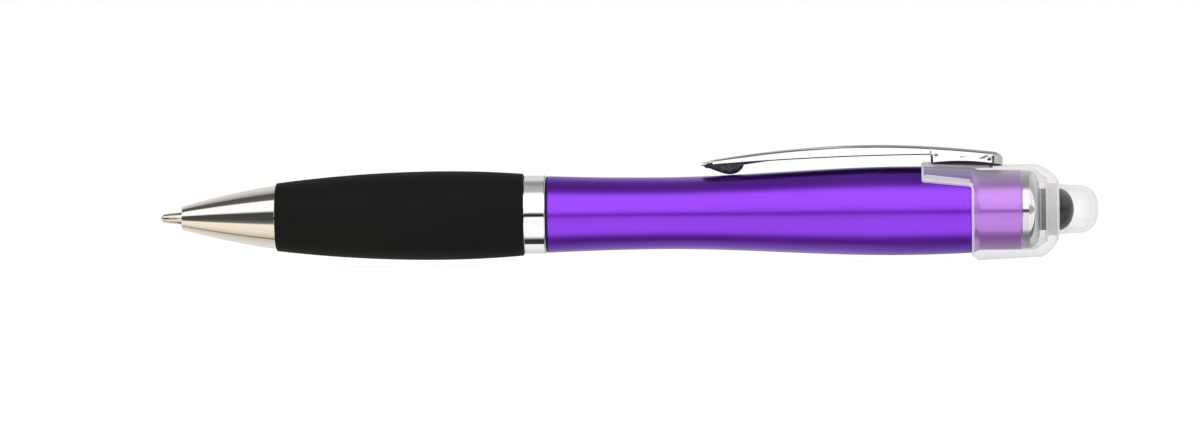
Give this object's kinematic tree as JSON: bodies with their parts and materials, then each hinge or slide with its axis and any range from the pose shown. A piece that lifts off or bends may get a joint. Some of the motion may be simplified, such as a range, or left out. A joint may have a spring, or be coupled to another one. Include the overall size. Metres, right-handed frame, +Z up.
{
  "type": "light-up stylus pen",
  "caption": "Twist-action ballpoint pen with a violet barrel, black grip, chrome nose and clip, and a soft light-up stylus button in a frosted cap.",
  "frame": {"origin": "bottom centre of the pen's box: the cap's lowest line is at Z = 0 and the length is centred on X = 0", "axes": "+X along the pen from the writing tip to the stylus end, +Z up through the clip, +Y to the left of a viewer who looks from tip to stylus end"},
  "size_m": [0.142, 0.0144, 0.0176],
  "materials": {
    "nose_chrome": "polished chrome plating",
    "bright_chrome": "polished chrome plating",
    "clip_chrome": "polished chrome plating, slightly darker in its hollows",
    "black_grip_rubber": "matte soft-touch rubber",
    "violet_anodised": "violet metallic anodised, satin-gloss",
    "frosted_plastic": "frosted translucent",
    "clear_silicone": "milky clear silicone",
    "smoked_lens": "smoked, glossy",
    "led_epoxy": "clear epoxy",
    "black_plastic": "moulded",
    "white_plastic": "moulded",
    "ink_tube": "ink showing through a plastic tube",
    "nickel_silver": "turned nickel silver",
    "ball_steel": "polished",
    "spring_steel": "drawn wire",
    "cell_steel": "nickel-plated",
    "contact_brass": "stamped"
  },
  "bodies": {
    "barrel": {"upper_barrel": "violet_anodised", "twist_cam": "black_plastic", "battery_tube": "white_plastic", "contact_strip": "contact_brass", "battery_spring": "spring_steel", "contact_plate": "contact_brass", "insulator_ring": "white_plastic", "switch_spring": "spring_steel", "light_collar": "bright_chrome", "end_cap": "frosted_plastic", "button_cell_1": "cell_steel", "button_cell_2": "cell_steel", "button_cell_3": "cell_steel"},
    "front_section": {"nose_cone": "nose_chrome", "grip_sleeve": "black_grip_rubber", "lower_barrel": "black_plastic", "centre_ring": "bright_chrome", "twist_guide": "white_plastic", "return_spring": "spring_steel"},
    "refill": {"refill_point": "nickel_silver", "writing_ball": "ball_steel", "refill_tube": "ink_tube", "cam_follower": "white_plastic"},
    "stylus_button": {"stylus_tip": "clear_silicone", "lens_plunger": "smoked_lens", "led": "led_epoxy"},
    "spring_clip": {"clip": "clip_chrome"}
  },
  "joints": [
    {"name": "barrel_twist", "type": "hinge", "parent": "barrel", "child": "front_section", "pos_m": [0, 0, 0.0076], "axis": [1, 0, 0], "range_deg": [-120, 0]},
    {"name": "refill_feed", "type": "slide", "parent": "front_section", "child": "refill", "axis": [1, 0, 0], "range_m": [0, 0.0048], "deforming": ["return_spring"]},
    {"name": "stylus_press", "type": "slide", "parent": "barrel", "child": "stylus_button", "axis": [-1, 0, 0], "range_m": [0, 0.0012], "stiffness_N_per_m": 300, "springref_m": -0.003, "deforming": ["switch_spring"]},
    {"name": "clip_flex", "type": "hinge", "parent": "barrel", "child": "spring_clip", "pos_m": [0.05565, 0, 0.0145], "axis": [0, 1, 0], "range_deg": [0, 3.5], "stiffness_Nm_per_rad": 1, "springref_deg": -1.15}
  ],
  "couplings": [
    {"joint": "barrel_twist", "follows": "refill_feed", "rad_per_m": -436.33}
  ]
}
